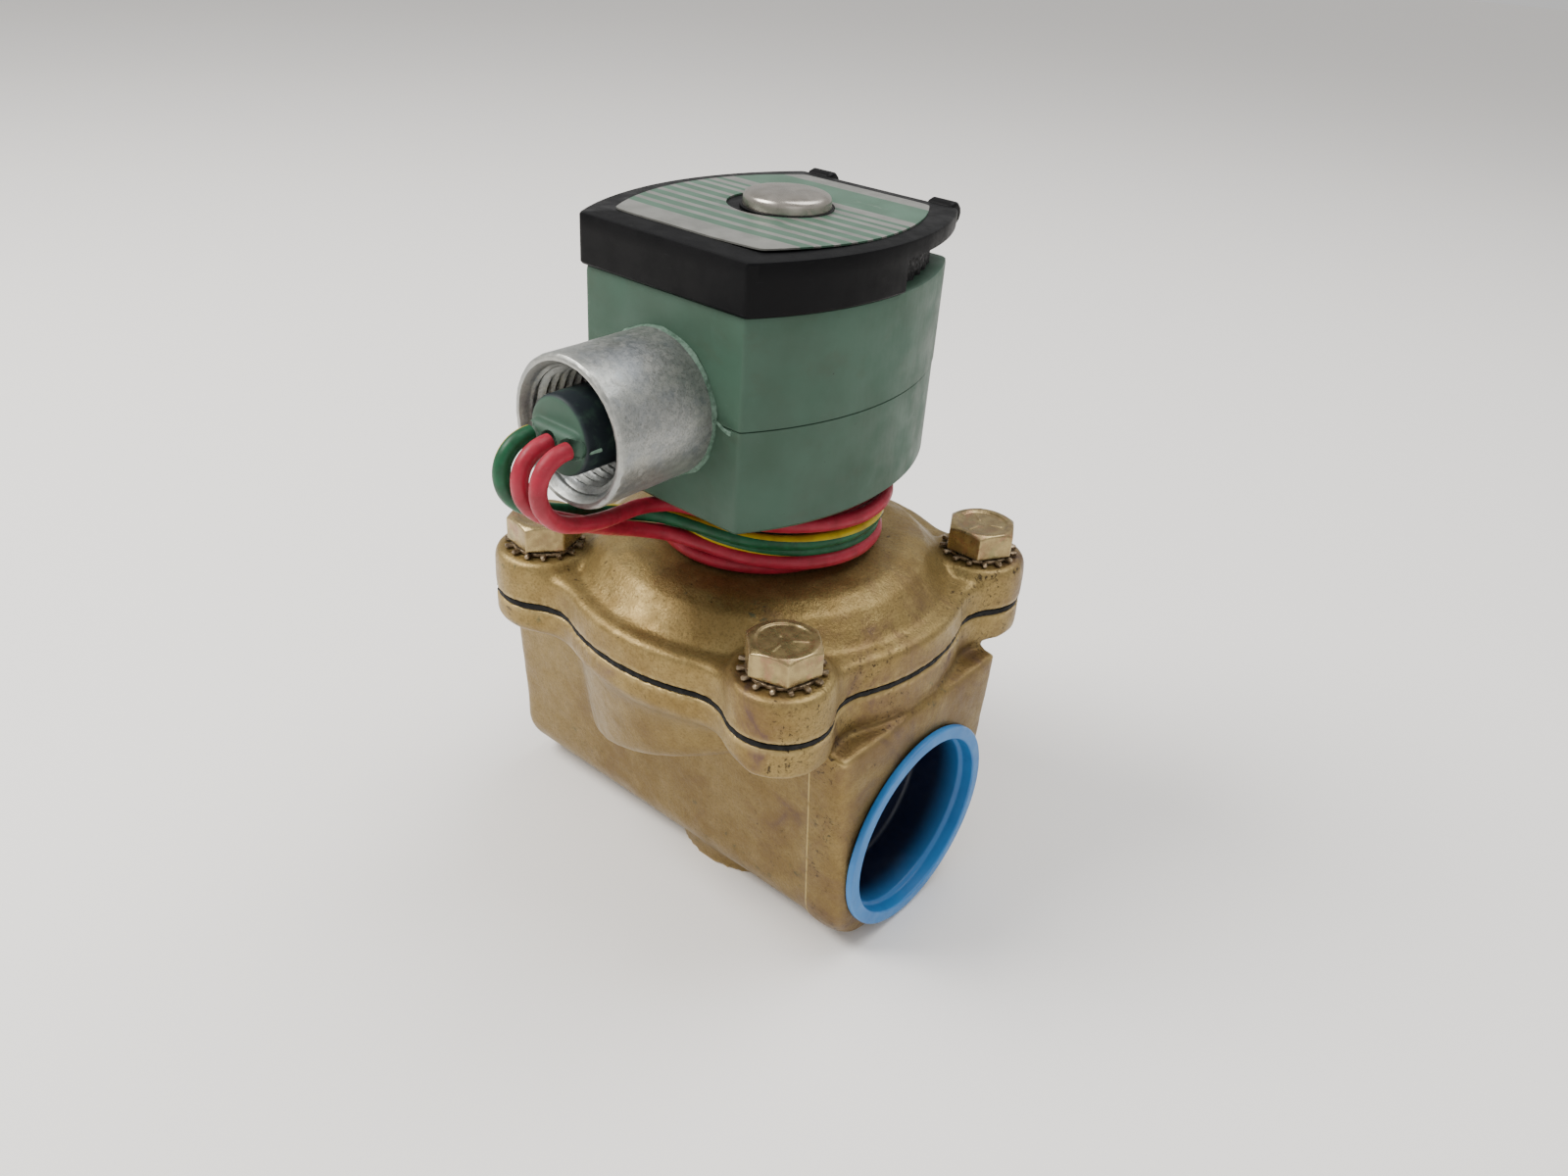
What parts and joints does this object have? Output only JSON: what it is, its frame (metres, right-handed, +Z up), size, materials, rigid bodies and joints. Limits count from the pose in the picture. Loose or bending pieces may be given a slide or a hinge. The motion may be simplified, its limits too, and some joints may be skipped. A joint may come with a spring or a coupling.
{
  "type": "solenoid valve",
  "caption": "Pilot-operated brass solenoid valve with two threaded pipe ports, a bolted bonnet over a diaphragm, a swivelling moulded coil, a conduit hub and loose leads.",
  "frame": {"origin": "on the flat bottom boss, under the axis of the solenoid and bolt pattern", "axes": "+Z up along the solenoid's axis, +X toward the outlet port, -Y toward the conduit hub"},
  "size_m": [0.097, 0.1031, 0.1399],
  "materials": {
    "cast_brass": "aged cast brass, satin, tarnished",
    "turned_brass": "turned",
    "stainless": "turned",
    "polished_stainless": "lightly polished",
    "spring_steel": "dull, oiled",
    "yellow_zinc_steel": "yellow zinc plated",
    "zinc_steel": "zinc plated",
    "galvanised_steel": "galvanised, spangled",
    "copper": "enamelled wire",
    "nitrile": "moulded",
    "green_epoxy": "moulded epoxy, matte",
    "black_fill": "rough fill",
    "black_plastic": "moulded, low gloss",
    "white_nylon": "moulded",
    "printed_aluminium": "printed plate with plain stripes",
    "red_insulation": "extruded lead insulation",
    "green_insulation": "extruded lead insulation with a yellow stripe",
    "blue_polythene": "moulded low density polythene"
  },
  "bodies": {
    "valve": {"valve_body": "cast_brass", "bonnet": "cast_brass", "pilot_nozzle": "stainless", "diaphragm": "nitrile", "bonnet_screws": "yellow_zinc_steel", "lock_washers": "spring_steel", "passage_seal": "nitrile", "diaphragm_spring": "stainless", "solenoid_base": "turned_brass", "base_seal": "nitrile", "core_tube": "stainless", "plugnut": "stainless", "shading_ring": "copper", "core_spring": "stainless", "spring_washer": "spring_steel", "retaining_cap": "polished_stainless", "cap_ring": "black_plastic"},
    "disc": {"seat_disc": "nitrile", "disc_holder": "turned_brass", "support_washer": "stainless", "diaphragm_nut": "turned_brass"},
    "core": {"core": "stainless", "core_disc": "nitrile"},
    "coil": {"yoke": "zinc_steel", "flux_plate": "zinc_steel", "bobbin": "white_nylon", "winding": "copper", "coil_housing": "green_epoxy", "conduit_hub": "galvanised_steel", "lead_stub": "green_epoxy", "coil_potting": "black_fill", "top_cover": "black_plastic", "nameplate": "printed_aluminium", "lead_hank": "red_insulation", "lead_red_right": "red_insulation", "lead_red_left": "red_insulation", "lead_ground": "green_insulation"},
    "port_plug": {"port_plug": "blue_polythene"}
  },
  "joints": [
    {"name": "core_lift", "type": "slide", "parent": "valve", "child": "core", "axis": [0, 0, 1], "range_m": [0, 0.0015], "stiffness_N_per_m": 250, "deforming": ["core_spring"]},
    {"name": "disc_lift", "type": "slide", "parent": "valve", "child": "disc", "axis": [0, 0, 1], "range_m": [0, 0.006], "stiffness_N_per_m": 60, "deforming": ["diaphragm", "diaphragm_spring"]},
    {"name": "coil_swivel", "type": "hinge", "parent": "valve", "child": "coil", "pos_m": [0, 0, 0.1088], "axis": [0, 0, 1], "continuous": true},
    {"name": "plug_pull", "type": "slide", "parent": "valve", "child": "port_plug", "axis": [1, 0, 0], "range_m": [0, 0.025]}
  ],
  "couplings": [
    {"joint": "core_lift", "follows": "disc_lift", "ratio": 0.25}
  ]
}
